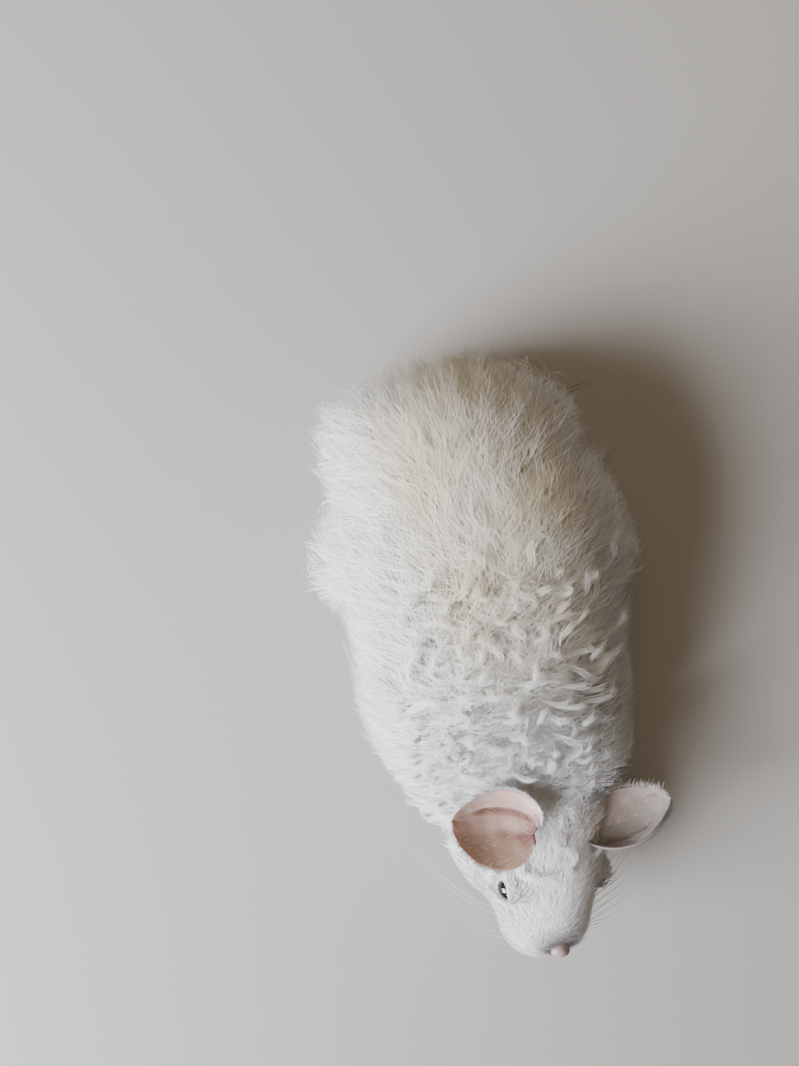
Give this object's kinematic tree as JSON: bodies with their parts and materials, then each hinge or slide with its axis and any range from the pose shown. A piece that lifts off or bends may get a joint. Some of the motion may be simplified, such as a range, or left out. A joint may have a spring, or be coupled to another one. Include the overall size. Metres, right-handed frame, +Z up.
{
  "type": "syrian hamster",
  "caption": "Life-size still model of a long-haired white Syrian hamster, standing with its head turned a little to its right and one ear spread.",
  "frame": {"origin": "middle of the bounding box at the floor, which the soles of the four feet rest on", "axes": "+Z up; the animal faces -Y, so +Y runs from its nose to its rump and +X is its left side"},
  "size_m": [0.068, 0.1287, 0.0463],
  "materials": {
    "coat": "long soft white hair, matte, cream tinted over the rump",
    "skin": "thin bare pink skin, satin, on ears, feet and tail",
    "nose": "fine-grained greyish pink, slightly moist",
    "eye": "very dark, wet gloss"
  },
  "bodies": {
    "root": {"chest": "coat", "foreleg_left": "coat", "foreleg_right": "coat", "head": "coat", "hindleg_left": "coat", "hindleg_right": "coat", "jaw": "coat", "loin": "coat", "neck": "coat", "rump": "coat", "ear_left": "skin", "ear_right": "skin", "forefoot_left": "skin", "forefoot_right": "skin", "hindfoot_left": "skin", "hindfoot_right": "skin", "tail": "skin", "nose": "nose", "eye_left": "eye", "eye_right": "eye"}
  },
  "joints": []
}
